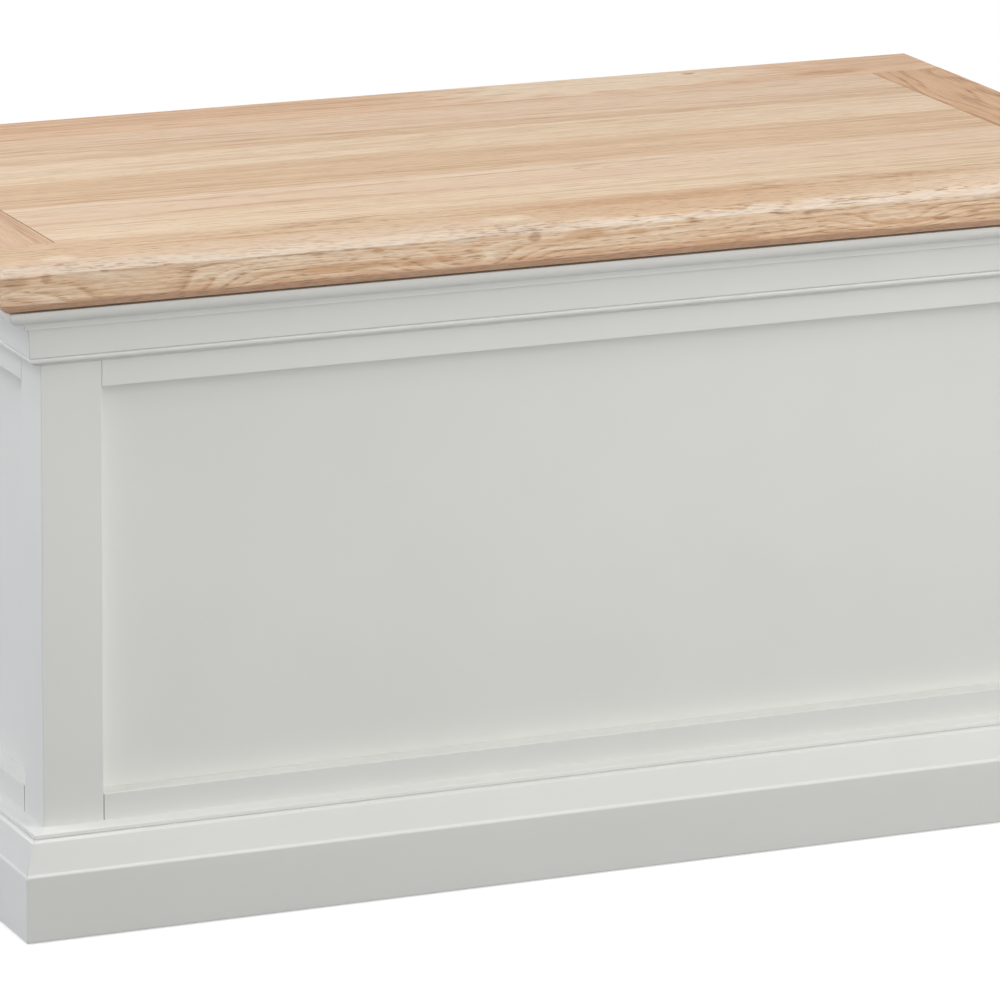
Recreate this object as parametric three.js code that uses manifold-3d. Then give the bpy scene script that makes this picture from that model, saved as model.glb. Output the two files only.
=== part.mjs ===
// A blanket chest: a painted frame-and-panel box on a moulded plinth, under a hinged oak lid.
// Sizes are in millimetres. +Z is up, +X is to the right as seen from the front, and the front
// faces -Y. The origin is on the floor, under the middle of the lid.
import * as THREE from 'three';
import { mergeVertices } from 'three/addons/utils/BufferGeometryUtils.js';
import Module from 'manifold-3d';

const wasm = await Module();
wasm.setup();

// Lid
const lidLength = 900;
const lidDepth = 450;
const lidThickness = 31;
const lidOverhang = 44; // past the posts, at the front and at both ends
const lidRearOverhang = 7;
const lidLongRailWidth = 65;
const lidEndRailWidth = 62;
const lidChamfer = 5.5;
const lidTongueLength = 8;
const lidTongueThickness = 8;
const lidGrooveStop = 10; // solid wood left between a groove's end and the lid's end
const staveWidthShares = [0.203125, 0.234375, 0.21875, 0.1875, 0.15625]; // rear stave first

// Frame
const carcassHeight = 447.5; // floor to the top of the posts
const lidGap = 2.5; // between the top of the carcass and the lid, kept by the bumpers
const postWidth = 44; // along the front
const postDepth = 38.5; // along the ends
const railThickness = 24;
const railHeight = 64;
const bottomRailRise = 31.5; // floor to the underside of the bottom rails
const tenonLength = 20;
const tenonThickness = 8;
const tenonInset = 5; // from the rail's outer face to its tenon
const tenonShoulder = 10; // above and below the tenon
const jointGap = 0.2; // all round a tenon, a tongue or a hinge leaf

// Panels and floor
const panelThickness = 9;
const panelLap = 8; // how far a panel enters the rails and posts
const panelPlay = 0.5; // between a panel's edge and the bottom of its groove
const floorThickness = 12;
const floorPlay = 0.5; // round the floor and at the ends of its cleats
const cleatWidth = 18;

// Mouldings
const crownHeight = 45.5;
const crownProjection = 33.5;
const plinthHeight = 75.5;
const plinthThickness = 20;
const mitreGap = 0.3; // between two mitred ends, square to the cut

// Feet and bumpers
const plinthClearance = 1; // floor to the underside of the plinth
const glideHeight = 4;
const glideRadius = 12;
const bumperRadius = 5;
const bumperEndDistance = 32; // from a front post to the middle of the bumper beside it

// Hinges
const hingeLength = 76;
const hingeEndDistance = 200; // from an end of the lid to the middle of the hinge beside it
const leafThickness = 1.5;
const leafReach = 22; // from the pin's axis to the far edge of a leaf
const leafLetIn = 0.75; // depth of the recess that holds a leaf
const knuckleRadius = 3;
const knuckleGap = 0.25; // between neighbouring knuckles, and round them
const knuckleStandoff = 0.75; // between the knuckles and the back of the carcass
const hingePinRadius = 1.5;
const hingePinPlay = 0.25;
const hingePinHeadRadius = 2.25;
const hingePinHeadHeight = 1;
const knuckleCount = 5;

// Lid stays. A stay's two pivots are equally far from the hinge pins, so that the stay turns
// through half of the lid's angle.
const stayReach = 240; // from the hinge pin's axis to each of a stay's pivots
const stayRestAngle = THREE.MathUtils.degToRad(64); // between those two lines, lid closed
const stayInset = 11; // from an end wall's inner face to the middle of the stay
const stayPivotDrop = 12; // from the underside of the lid to the upper pivot
const cylinderRadius = 7.5;
const cylinderEndRoom = 14.5; // between the upper pivot and the cylinder's mouth, lid closed
const boreRadius = 4.5;
const boreStart = 11; // from the lower pivot to the bottom of the bore
const rodRadius = 4;
const rodEndRoom = 1.5; // between the rod and the bottom of the bore, lid closed
const eyeRadius = 7;
const eyeThickness = 6;
const studRadius = 3;
const studPlay = 0.3;
const studHeadRadius = 4.5;
const studHeadHeight = 1.75;
const studCollarRadius = 5;
const bracketThickness = 2;
const wallPlateRadius = 13;
const lidPlateWidth = 26;
const lidPlateHalfLength = 16;
const bracketWallGap = 1; // between the lid bracket and the end wall
const bracketEarRadius = 8;

// Smoothness of round pieces and of curves in the mouldings
const roundSegments = 24;
const curveSegments = 4;

// The mouldings' outlines, from the foot of the wall out and up to its top. Each pair is a share
// of the projection and a share of the height, and "bend" is the control point of a curve.
const crownOutlineShares = [
  { to: [0.149, 0.026] },
  { to: [0.281, 0.079] },
  { bend: [0.349, 0.088], to: [0.349, 0.134] },
  { bend: [0.349, 0.18], to: [0.304, 0.187] },
  { to: [0.364, 0.211] },
  { bend: [0.37, 0.44], to: [0.409, 0.607] },
  { to: [0.534, 0.622] },
  { to: [0.534, 0.743] },
  { to: [0.693, 0.754] },
  { bend: [0.94, 0.78], to: [1, 0.93] },
  { to: [1, 1] },
  { to: [0, 1] },
];
const plinthOutlineShares = [
  { to: [1, 0] },
  { to: [1, 0.596] },
  { bend: [0.995, 0.641], to: [0.9, 0.648] },
  { to: [0.68, 0.894] },
  { bend: [0.64, 0.938], to: [0.52, 0.942] },
  { to: [0.49, 0.947] },
  { to: [0.53, 0.952] },
  { bend: [0.535, 0.979], to: [0.44, 0.9815] },
  { to: [0, 1] },
];

// Places that follow from the sizes above
const lidFront = -lidDepth / 2;
const lidBack = lidDepth / 2;
const lidSide = lidLength / 2;
const lidUnderside = carcassHeight + lidGap;
const lidTop = lidUnderside + lidThickness;
const front = lidFront + lidOverhang; // outer faces of the posts
const back = lidBack - lidRearOverhang;
const side = lidSide - lidOverhang;
const postInnerX = side - postWidth;
const postInnerFront = front + postDepth;
const postInnerBack = back - postDepth;
const wallInnerX = side - railThickness;
const wallInnerFront = front + railThickness;
const wallInnerBack = back - railThickness;
const topRailRise = carcassHeight - railHeight;
const bottomRailTop = bottomRailRise + railHeight;
const panelInset = railThickness - panelThickness;
const panelBottom = bottomRailTop - panelLap + panelPlay;
const panelTop = topRailRise + panelLap - panelPlay;
const floorBottom = bottomRailRise + cleatWidth;
const hingeAxisY = back + knuckleStandoff + knuckleRadius;
const hingeAxisZ = carcassHeight;
const hingePlaces = [hingeEndDistance - lidSide, lidSide - hingeEndDistance];

// Finishes
const oak = () => new THREE.MeshStandardMaterial({ color: 0xdcbd97, roughness: 0.5, metalness: 0 });
const paint = () => new THREE.MeshStandardMaterial({ color: 0xd3d2cc, roughness: 0.45, metalness: 0 });
const plywood = () => new THREE.MeshStandardMaterial({ color: 0xd8c3a0, roughness: 0.7, metalness: 0 });
const steel = () => new THREE.MeshStandardMaterial({ color: 0xb9babb, roughness: 0.35, metalness: 1 });
const enamel = () => new THREE.MeshStandardMaterial({ color: 0x3a3b3d, roughness: 0.4, metalness: 0.2 });
const rubber = () => new THREE.MeshStandardMaterial({ color: 0x4a4a48, roughness: 0.9, metalness: 0 });
const plastic = () => new THREE.MeshStandardMaterial({ color: 0xb8b4aa, roughness: 0.6, metalness: 0 });

// Solids

// The closed solid inside a geometry's faces, ready to be joined and cut
function toSolid(geometry) {
  const bare = new THREE.BufferGeometry();
  bare.setAttribute('position', geometry.getAttribute('position'));
  bare.setIndex(geometry.getIndex());
  const merged = mergeVertices(bare);
  const corners = merged.getIndex().array;
  const triangles = [];
  for (let i = 0; i < corners.length; i += 3) {
    const [a, b, c] = corners.slice(i, i + 3);
    if (a !== b && b !== c && c !== a) triangles.push(a, b, c);
  }
  return new wasm.Manifold(new wasm.Mesh({
    numProp: 3,
    vertProperties: new Float32Array(merged.getAttribute('position').array),
    triVerts: new Uint32Array(triangles),
  }));
}

function toGeometry(solid) {
  const { vertProperties, triVerts } = solid.getMesh();
  const geometry = new THREE.BufferGeometry();
  geometry.setAttribute('position', new THREE.Float32BufferAttribute(vertProperties, 3));
  geometry.setIndex(new THREE.Uint32BufferAttribute(triVerts, 1));
  geometry.computeVertexNormals();
  return geometry;
}

// A box from its two limits along each axis, given in either order
function block(x, y, z) {
  const box = new THREE.BoxGeometry(1, 1, 1);
  const corners = box.getAttribute('position');
  const limit = (range, low) => (low ? Math.min(...range) : Math.max(...range));
  for (let i = 0; i < corners.count; i += 1) {
    corners.setXYZ(
      i,
      limit(x, corners.getX(i) < 0),
      limit(y, corners.getY(i) < 0),
      limit(z, corners.getZ(i) < 0),
    );
  }
  return toSolid(box);
}

// A solid turned about the X axis. Each pair of its profile is a radius and a place along X.
function turned(profile, segments = roundSegments) {
  const points = profile.map(([radius, along]) => new THREE.Vector2(radius, along));
  const lathe = new THREE.LatheGeometry(points, segments);
  lathe.rotateZ(-Math.PI / 2);
  return toSolid(lathe);
}

// A plain round bar along X
function bar(radius, from, to) {
  return turned([[0, from], [radius, from], [radius, to], [0, to]]);
}

function piece(name, solid, material) {
  const mesh = new THREE.Mesh(toGeometry(solid), material());
  mesh.name = name;
  return mesh;
}

// Lid

// The whole lid as one slab with chamfered edges, in the lid's own frame about the hinge axis
function lidBlank() {
  const outline = new THREE.Shape();
  outline.moveTo(-lidSide, lidFront - hingeAxisY);
  outline.lineTo(lidSide, lidFront - hingeAxisY);
  outline.lineTo(lidSide, lidBack - hingeAxisY);
  outline.lineTo(-lidSide, lidBack - hingeAxisY);
  outline.closePath();
  const slab = new THREE.ExtrudeGeometry(outline, {
    depth: lidThickness - 2 * lidChamfer,
    bevelThickness: lidChamfer,
    bevelSize: lidChamfer,
    bevelOffset: -lidChamfer,
    bevelSegments: 1,
  });
  slab.translate(0, 0, lidUnderside + lidChamfer - hingeAxisZ);
  return toSolid(slab);
}

// A block in the lid's own frame, from limits in the chest's frame
function lidBlock(x, y, z) {
  return block(x, y.map((value) => value - hingeAxisY), z.map((value) => value - hingeAxisZ));
}

const lidLimits = [lidUnderside, lidTop];
const tongueLow = lidUnderside + (lidThickness - lidTongueThickness) / 2;
const tongueHigh = tongueLow + lidTongueThickness;
const tongueLimits = [tongueLow, tongueHigh];
const grooveLimits = [tongueLow - jointGap, tongueHigh + jointGap];
const fieldSide = lidSide - lidEndRailWidth;
const fieldFront = lidFront + lidLongRailWidth;
const fieldBack = lidBack - lidLongRailWidth;

// The recess in the rear rail's underside that one hinge leaf lies in
function lidLeafRecess(hingeX) {
  const half = hingeLength / 2 + jointGap;
  return lidBlock(
    [hingeX - half, hingeX + half],
    [hingeAxisY - leafReach - jointGap, lidBack],
    [lidUnderside - leafThickness, lidUnderside + leafLetIn],
  );
}

// A long rail, with a stopped groove along its inner edge for the staves and end rails
function lidLongRail(name, outer, inner, blank) {
  const into = Math.sign(outer - inner);
  const grooveBottom = inner + into * (lidTongueLength + jointGap);
  const grooveEnd = lidSide - lidGrooveStop + jointGap;
  let rail = blank.intersect(lidBlock([-lidSide, lidSide], [outer, inner], lidLimits));
  rail = rail.subtract(lidBlock([-grooveEnd, grooveEnd], [grooveBottom, inner], grooveLimits));
  if (inner > 0) {
    for (const hingeX of hingePlaces) rail = rail.subtract(lidLeafRecess(hingeX));
  }
  return piece(name, rail, oak);
}

// An end rail between the long rails, tongued at both ends and grooved for the staves
function lidEndRail(name, direction, blank) {
  const inner = direction * fieldSide;
  const grooveBottom = inner + direction * (lidTongueLength + jointGap);
  const tongueEnd = direction * (lidSide - lidGrooveStop);
  const tongues = lidBlock(
    [inner, tongueEnd],
    [fieldFront - lidTongueLength, fieldBack + lidTongueLength],
    tongueLimits,
  );
  const body = blank.intersect(
    lidBlock([inner, direction * lidSide], [fieldFront, fieldBack], lidLimits),
  );
  const reach = [fieldFront - lidTongueLength, fieldBack + lidTongueLength];
  const rail = body.add(tongues).subtract(lidBlock([inner, grooveBottom], reach, grooveLimits));
  return piece(name, rail, oak);
}

// One stave of the field, tongued into the end rails and, at the field's edges, the long rails
function lidStave(name, low, high) {
  const board = lidBlock([-fieldSide, fieldSide], [low, high], lidLimits);
  const tongueSide = fieldSide + lidTongueLength;
  const tongueY = [
    low === fieldFront ? low - lidTongueLength : low,
    high === fieldBack ? high + lidTongueLength : high,
  ];
  return piece(name, board.add(lidBlock([-tongueSide, tongueSide], tongueY, tongueLimits)), oak);
}

function makeLid() {
  const lid = new THREE.Group();
  lid.position.set(0, hingeAxisY, hingeAxisZ);
  const blank = lidBlank();
  lid.add(lidLongRail('lid_rail_front', lidFront, fieldFront, blank));
  lid.add(lidLongRail('lid_rail_rear', lidBack, fieldBack, blank));
  lid.add(lidEndRail('lid_rail_left', -1, blank));
  lid.add(lidEndRail('lid_rail_right', 1, blank));
  let edge = fieldBack;
  staveWidthShares.forEach((share, i) => {
    const last = i === staveWidthShares.length - 1;
    const next = last ? fieldFront : edge - share * (fieldBack - fieldFront);
    lid.add(lidStave(`lid_stave_${i + 1}`, next, edge));
    edge = next;
  });
  return lid;
}

// Frame

// Corner post, with mortises for four tenons and grooves for two panels. The cuts are placed by
// their distance from the post's two outer faces.
function cornerPost(name, directionX, directionY) {
  const outerX = directionX * side;
  const outerY = directionY < 0 ? front : back;
  const inX = (distance) => outerX - directionX * distance;
  const inY = (distance) => outerY - directionY * distance;
  const cut = (x, y, z) => block(x.map(inX), y.map(inY), z);
  const mortiseAcross = [tenonInset - jointGap, tenonInset + tenonThickness + jointGap];
  const grooveAcross = [panelInset - jointGap, railThickness + jointGap];
  const grooveUp = [panelBottom - panelPlay, panelTop + panelPlay];
  const mortiseX = [postWidth - tenonLength - jointGap, postWidth];
  const mortiseY = [postDepth - tenonLength - jointGap, postDepth];
  const grooveX = [postWidth - panelLap - panelPlay, postWidth];
  const grooveY = [postDepth - panelLap - panelPlay, postDepth];
  let post = cut([0, postWidth], [0, postDepth], [glideHeight, carcassHeight]);
  for (const rise of [bottomRailRise, topRailRise]) {
    const up = [rise + tenonShoulder - jointGap, rise + railHeight - tenonShoulder + jointGap];
    post = post.subtract(cut(mortiseX, mortiseAcross, up));
    post = post.subtract(cut(mortiseAcross, mortiseY, up));
  }
  post = post.subtract(cut(grooveX, grooveAcross, grooveUp));
  post = post.subtract(cut(grooveAcross, grooveY, grooveUp));
  return piece(name, post, paint);
}

// The four walls. "length" holds the limits between the posts, "outer" is the plane of the outer
// face, "inward" points into the chest, and "turn" swaps the axes for the end walls.
const walls = {
  front: { length: [-postInnerX, postInnerX], outer: front, inward: 1, turn: false },
  rear: { length: [-postInnerX, postInnerX], outer: back, inward: -1, turn: false },
  left: { length: [postInnerFront, postInnerBack], outer: -side, inward: 1, turn: true },
  right: { length: [postInnerFront, postInnerBack], outer: side, inward: -1, turn: true },
};

// A block of a wall, from its limits along the wall, inward from the outer face, and up
function wallBlock(wall, along, deep, up) {
  const across = deep.map((distance) => wall.outer + wall.inward * distance);
  return wall.turn ? block(across, along, up) : block(along, across, up);
}

// A wall's limits made longer by the same amount at both ends
function longer(wall, extra) {
  return [wall.length[0] - extra, wall.length[1] + extra];
}

// The recess in the rear rail's top edge that one hinge leaf lies in
function railLeafRecess(hingeX) {
  const half = hingeLength / 2 + jointGap;
  return block(
    [hingeX - half, hingeX + half],
    [hingeAxisY - leafReach - jointGap, back],
    [carcassHeight - leafLetIn, carcassHeight + leafThickness],
  );
}

// A rail with a rebate for its panel along one edge and a tenon at each end
function frameRail(name, wall, rise, rebate) {
  const up = [rise, rise + railHeight];
  const tenonUp = [rise + tenonShoulder, rise + railHeight - tenonShoulder];
  const tenonDeep = [tenonInset, tenonInset + tenonThickness];
  let rail = wallBlock(wall, wall.length, [0, railThickness], up);
  rail = rail.subtract(wallBlock(wall, wall.length, [panelInset, railThickness], rebate));
  rail = rail.add(wallBlock(wall, longer(wall, tenonLength), tenonDeep, tenonUp));
  if (wall === walls.rear && rise === topRailRise) {
    for (const hingeX of hingePlaces) rail = rail.subtract(railLeafRecess(hingeX));
  }
  return piece(name, rail, paint);
}

function wallPanel(name, wall) {
  const panel = wallBlock(
    wall,
    longer(wall, panelLap),
    [panelInset, railThickness],
    [panelBottom, panelTop],
  );
  return piece(name, panel, paint);
}

// The floor, notched round the four posts
function floorPanel() {
  const x = wallInnerX - floorPlay;
  const notchX = postInnerX - floorPlay;
  const low = wallInnerFront + floorPlay;
  const high = wallInnerBack - floorPlay;
  const notchLow = postInnerFront + floorPlay;
  const notchHigh = postInnerBack - floorPlay;
  const outline = new THREE.Shape([
    [-notchX, low], [notchX, low], [notchX, notchLow], [x, notchLow],
    [x, notchHigh], [notchX, notchHigh], [notchX, high], [-notchX, high],
    [-notchX, notchHigh], [-x, notchHigh], [-x, notchLow], [-notchX, notchLow],
  ].map(([px, py]) => new THREE.Vector2(px, py)));
  const sheet = new THREE.ExtrudeGeometry(outline, { depth: floorThickness, bevelEnabled: false });
  sheet.translate(0, 0, floorBottom);
  return piece('floor_panel', toSolid(sheet), plywood);
}

// A cleat that carries one edge of the floor
function floorCleat(name, wall) {
  const deep = [railThickness, railThickness + cleatWidth];
  const cleat = wallBlock(wall, longer(wall, -floorPlay), deep, [bottomRailRise, floorBottom]);
  return piece(name, cleat, plywood);
}

// Mouldings

function mouldingOutline(shares, projection, height) {
  const outline = new THREE.Shape();
  outline.moveTo(0, 0);
  for (const { bend, to } of shares) {
    const end = [to[0] * projection, to[1] * height];
    if (bend) outline.quadraticCurveTo(bend[0] * projection, bend[1] * height, ...end);
    else outline.lineTo(...end);
  }
  outline.closePath();
  return outline;
}

// A moulding in its own frame: X out from the wall, Y up, Z along it. A mitred end grows longer
// outwards, by as much as the outline stands out there, and is drawn back by half the gap.
function mouldingRun(outline, length, mitredStart, mitredEnd) {
  const run = new THREE.ExtrudeGeometry(outline, { depth: 1, bevelEnabled: false, curveSegments });
  const points = run.getAttribute('position');
  const setback = mitreGap * Math.SQRT1_2;
  for (let i = 0; i < points.count; i += 1) {
    const out = points.getX(i);
    const atStart = points.getZ(i) === 0;
    const start = mitredStart ? setback - out : 0;
    const end = mitredEnd ? length - setback + out : length;
    points.setZ(i, atStart ? start : end);
  }
  return run;
}

// The moulding on three walls: the ends run from the mitre at the front to the back of the chest
function mouldingSet(name, shares, projection, height, rise) {
  const outline = mouldingOutline(shares, projection, height);
  const up = new THREE.Vector3(0, 0, 1);
  const toward = (x, y) => new THREE.Vector3(x, y, 0);
  const runs = {
    front: { at: [side, front], out: toward(0, -1), along: toward(-1, 0), mitres: [true, true] },
    left: { at: [-side, front], out: toward(-1, 0), along: toward(0, 1), mitres: [true, false] },
    right: { at: [side, back], out: toward(1, 0), along: toward(0, -1), mitres: [false, true] },
  };
  return Object.entries(runs).map(([place, { at, out, along, mitres }]) => {
    const length = place === 'front' ? 2 * side : back - front;
    const run = mouldingRun(outline, length, ...mitres);
    const seat = new THREE.Matrix4().makeBasis(out, up, along).setPosition(at[0], at[1], rise);
    run.applyMatrix4(seat);
    return piece(`${name}_${place}`, toSolid(run), paint);
  });
}

// Feet and bumpers

// A short upright disc with its foot at a height
function disc(name, radius, height, [x, y, z], material) {
  const mesh = piece(name, bar(radius, 0, height), material);
  mesh.rotation.y = -Math.PI / 2;
  mesh.position.set(x, y, z);
  return mesh;
}

function makeGlide(name, directionX, directionY) {
  const x = directionX * (side - postWidth / 2);
  const y = directionY < 0 ? front + postDepth / 2 : back - postDepth / 2;
  return disc(name, glideRadius, glideHeight, [x, y, 0], plastic);
}

function makeBumper(name, direction) {
  const x = direction * (postInnerX - bumperEndDistance);
  const y = front + railThickness / 2;
  return disc(name, bumperRadius, lidGap, [x, y, carcassHeight], rubber);
}

// Carcass

const corners = [
  ['front_left', -1, -1],
  ['front_right', 1, -1],
  ['rear_left', -1, 1],
  ['rear_right', 1, 1],
];

function makeCarcass() {
  const carcass = new THREE.Group();
  for (const [corner, directionX, directionY] of corners) {
    carcass.add(cornerPost(`post_${corner}`, directionX, directionY));
    carcass.add(makeGlide(`glide_${corner}`, directionX, directionY));
  }
  const bottomRebate = [bottomRailTop - panelLap, bottomRailTop];
  const topRebate = [topRailRise, topRailRise + panelLap];
  for (const [place, wall] of Object.entries(walls)) {
    carcass.add(frameRail(`rail_${place}_bottom`, wall, bottomRailRise, bottomRebate));
    carcass.add(frameRail(`rail_${place}_top`, wall, topRailRise, topRebate));
    carcass.add(wallPanel(`panel_${place}`, wall));
    carcass.add(floorCleat(`cleat_${place}`, wall));
  }
  carcass.add(floorPanel());
  const crownRise = carcassHeight - crownHeight;
  const crown = mouldingSet('crown', crownOutlineShares, crownProjection, crownHeight, crownRise);
  const plinth = mouldingSet(
    'plinth',
    plinthOutlineShares,
    plinthThickness,
    plinthHeight,
    plinthClearance,
  );
  carcass.add(...crown, ...plinth);
  carcass.add(makeBumper('bumper_left', -1), makeBumper('bumper_right', 1));
  return carcass;
}

// Hinges

// A hinge leaf with its knuckles, about the pin's axis. The leaf lies between two heights above
// that axis and reaches forward, and its knuckles are every second one, from the given first.
function hingeLeaf(name, low, first) {
  const pitch = (hingeLength + knuckleGap) / knuckleCount;
  const startX = -hingeLength / 2;
  const clear = knuckleRadius + knuckleGap;
  const up = [low, low + leafThickness];
  let leaf = block([startX, -startX], [-leafReach, -clear], up);
  for (let i = first; i < knuckleCount; i += 2) {
    const from = startX + i * pitch;
    const to = from + pitch - knuckleGap;
    leaf = leaf.add(block([from, to], [-clear, 0], up)).add(bar(knuckleRadius, from, to));
  }
  leaf = leaf.subtract(bar(hingePinRadius + hingePinPlay, startX - knuckleGap, knuckleGap - startX));
  return piece(name, leaf, steel);
}

// The pin, with a small head at each end
function hingePin(name) {
  const neck = hingeLength / 2 + knuckleGap;
  const tip = neck + hingePinHeadHeight;
  return piece(name, turned([
    [0, -tip],
    [hingePinHeadRadius, -tip],
    [hingePinHeadRadius, -neck],
    [hingePinRadius, -neck],
    [hingePinRadius, neck],
    [hingePinHeadRadius, neck],
    [hingePinHeadRadius, tip],
    [0, tip],
  ]), steel);
}

function makeHinge(sideName, x) {
  const hinge = new THREE.Group();
  hinge.position.set(x, hingeAxisY, hingeAxisZ);
  const fixedLow = carcassHeight - leafLetIn - hingeAxisZ;
  const movingLow = lidUnderside + leafLetIn - leafThickness - hingeAxisZ;
  hinge.add(hingeLeaf(`hinge_fixed_leaf_${sideName}`, fixedLow, 0));
  hinge.add(hingeLeaf(`hinge_lid_leaf_${sideName}`, movingLow, 1));
  hinge.add(hingePin(`hinge_pin_${sideName}`));
  return hinge;
}

// Lid stays

// The two pivots, in the plane of a stay, and the stay's length and slope with the lid closed
const upperPivotZ = lidUnderside - stayPivotDrop;
const upperAngle = Math.asin((hingeAxisZ - upperPivotZ) / stayReach);
const lowerAngle = upperAngle + stayRestAngle;
const upperPivotY = hingeAxisY - stayReach * Math.cos(upperAngle);
const lowerPivotY = hingeAxisY - stayReach * Math.cos(lowerAngle);
const lowerPivotZ = hingeAxisZ - stayReach * Math.sin(lowerAngle);
const stayLength = Math.hypot(upperPivotY - lowerPivotY, upperPivotZ - lowerPivotZ);
const staySlope = Math.atan2(upperPivotZ - lowerPivotZ, upperPivotY - lowerPivotY);
const eyeHoleRadius = studRadius + studPlay;
const shankStart = studCollarRadius + studPlay; // where a rod or tube ends beside its pivot

// An eye round a pivot at the origin, on the end of a bar that runs along X
function withEye(shaft) {
  const eye = bar(eyeRadius, -eyeThickness / 2, eyeThickness / 2).rotate([0, 0, 90]);
  const hole = bar(eyeHoleRadius, -cylinderRadius, cylinderRadius).rotate([0, 0, 90]);
  return shaft.add(eye).subtract(hole);
}

// The cylinder, from its eye to its open mouth
function stayCylinder(name) {
  const mouth = stayLength - cylinderEndRoom;
  const tube = turned([
    [0, shankStart],
    [cylinderRadius, shankStart],
    [cylinderRadius, mouth],
    [boreRadius, mouth],
    [boreRadius, boreStart],
    [0, boreStart],
  ]);
  return piece(name, withEye(tube), enamel);
}

// The rod, from its eye down into the bore
function stayRod(name) {
  const end = stayLength - boreStart - rodEndRoom;
  return piece(name, withEye(bar(rodRadius, shankStart, end)), steel);
}

// A plate with the stud that an eye turns on, standing out along X from the end wall, which is
// at zero. The middle of the eye lies at the stay's inset from the wall.
function stud(plateProfile) {
  const eyeNear = stayInset - eyeThickness / 2 - studPlay;
  const eyeFar = stayInset + eyeThickness / 2 + studPlay;
  return turned([
    ...plateProfile,
    [studCollarRadius, eyeNear],
    [studRadius, eyeNear],
    [studRadius, eyeFar],
    [studHeadRadius, eyeFar],
    [studHeadRadius, eyeFar + studHeadHeight],
    [0, eyeFar + studHeadHeight],
  ]);
}

// A round plate on the end wall, with the stud for the cylinder
function wallBracket(name) {
  return piece(name, stud([
    [0, 0],
    [wallPlateRadius, 0],
    [wallPlateRadius, bracketThickness],
    [studCollarRadius, bracketThickness],
  ]), steel);
}

// An angle bracket under the lid, with the stud for the rod
function lidBracket(name) {
  const near = bracketWallGap;
  const ear = [near, near + bracketThickness];
  const plateLow = stayPivotDrop - bracketThickness;
  const plateY = [-lidPlateHalfLength, lidPlateHalfLength];
  const plate = block([near, near + lidPlateWidth], plateY, [plateLow, stayPivotDrop]);
  const bracket = plate
    .add(block(ear, [-bracketEarRadius, bracketEarRadius], [0, plateLow]))
    .add(bar(bracketEarRadius, ...ear))
    .add(stud([[0, near], [studCollarRadius, near]]));
  return piece(name, bracket, steel);
}

// One stay on an end wall. Its pieces are made along +X, away from the wall, and turned to it.
function makeStay(sideName, direction) {
  const stay = new THREE.Group();
  const stayX = direction * (wallInnerX - stayInset);
  const awayFromWall = direction < 0 ? 0 : Math.PI;
  const cylinder = stayCylinder(`stay_cylinder_${sideName}`);
  cylinder.position.set(stayX, lowerPivotY, lowerPivotZ);
  cylinder.rotation.set(staySlope, 0, Math.PI / 2);
  const rod = stayRod(`stay_rod_${sideName}`);
  rod.position.set(stayX, upperPivotY, upperPivotZ);
  rod.rotation.set(staySlope + Math.PI, 0, Math.PI / 2);
  const fixed = wallBracket(`stay_wall_bracket_${sideName}`);
  fixed.position.set(direction * wallInnerX, lowerPivotY, lowerPivotZ);
  fixed.rotation.z = awayFromWall;
  const moving = lidBracket(`stay_lid_bracket_${sideName}`);
  moving.position.set(direction * wallInnerX, upperPivotY, upperPivotZ);
  moving.rotation.z = awayFromWall;
  stay.add(cylinder, rod, fixed, moving);
  return stay;
}

const chest = new THREE.Group();
chest.add(makeCarcass(), makeLid());
chest.add(makeHinge('left', hingePlaces[0]), makeHinge('right', hingePlaces[1]));
chest.add(makeStay('left', -1), makeStay('right', 1));

export default chest;
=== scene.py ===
# %% [markdown]
# # A painted blanket chest with an oak lid
#
# The chest is a box of posts, rails and flat panels, painted a pale satin grey, with a moulded
# crown under the lid and a moulded plinth at the floor. Its lid is made of clear lacquered oak.
#
# The solid model is already there: every board is a closed solid, in metres, with Z up and the
# front towards -Y. This lesson dresses it. Boards get softened edges, the mouldings get their
# full outline, and each wood, paint and metal gets a material built from nodes.

# %% Load the solid model
from math import radians

import bmesh
import bpy
from mathutils import Matrix, Vector


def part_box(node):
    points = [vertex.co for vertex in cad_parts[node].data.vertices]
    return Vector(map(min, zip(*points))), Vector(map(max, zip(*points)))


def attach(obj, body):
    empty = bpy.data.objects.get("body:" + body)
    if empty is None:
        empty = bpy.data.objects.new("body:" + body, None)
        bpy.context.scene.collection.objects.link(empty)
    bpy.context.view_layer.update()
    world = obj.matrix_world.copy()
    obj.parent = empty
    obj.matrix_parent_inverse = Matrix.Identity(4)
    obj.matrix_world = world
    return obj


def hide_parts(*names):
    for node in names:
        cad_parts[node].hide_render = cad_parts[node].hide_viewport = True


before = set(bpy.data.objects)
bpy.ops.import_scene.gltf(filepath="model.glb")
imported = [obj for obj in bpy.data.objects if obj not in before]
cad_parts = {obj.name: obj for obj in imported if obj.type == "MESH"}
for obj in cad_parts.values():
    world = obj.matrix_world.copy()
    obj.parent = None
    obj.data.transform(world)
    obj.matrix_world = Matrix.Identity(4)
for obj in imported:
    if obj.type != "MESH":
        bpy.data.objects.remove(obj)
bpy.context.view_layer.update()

MM = 0.001

# %% [markdown]
# ## Where the photographer stood
#
# Lines on the chest that are level and parallel give away the camera. This one stood 5 m off to
# the left, a little above the lid, with a long lens. A long lens keeps the chest's upright edges
# upright without any shift. The turn is built in the order a tripod head has: round the upright,
# then down, then a last small roll.

# %% Camera
CAMERA_PLACE = Vector((-2.02782, -4.62357, 1.56072))
CAMERA_YAW = -23.8165
CAMERA_PITCH = 14.8241
CAMERA_ROLL = -0.5738
SENSOR_WIDTH = 36.0
LENS_PER_FRAME = 7.214287  # focal length over the width of the picture

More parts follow.
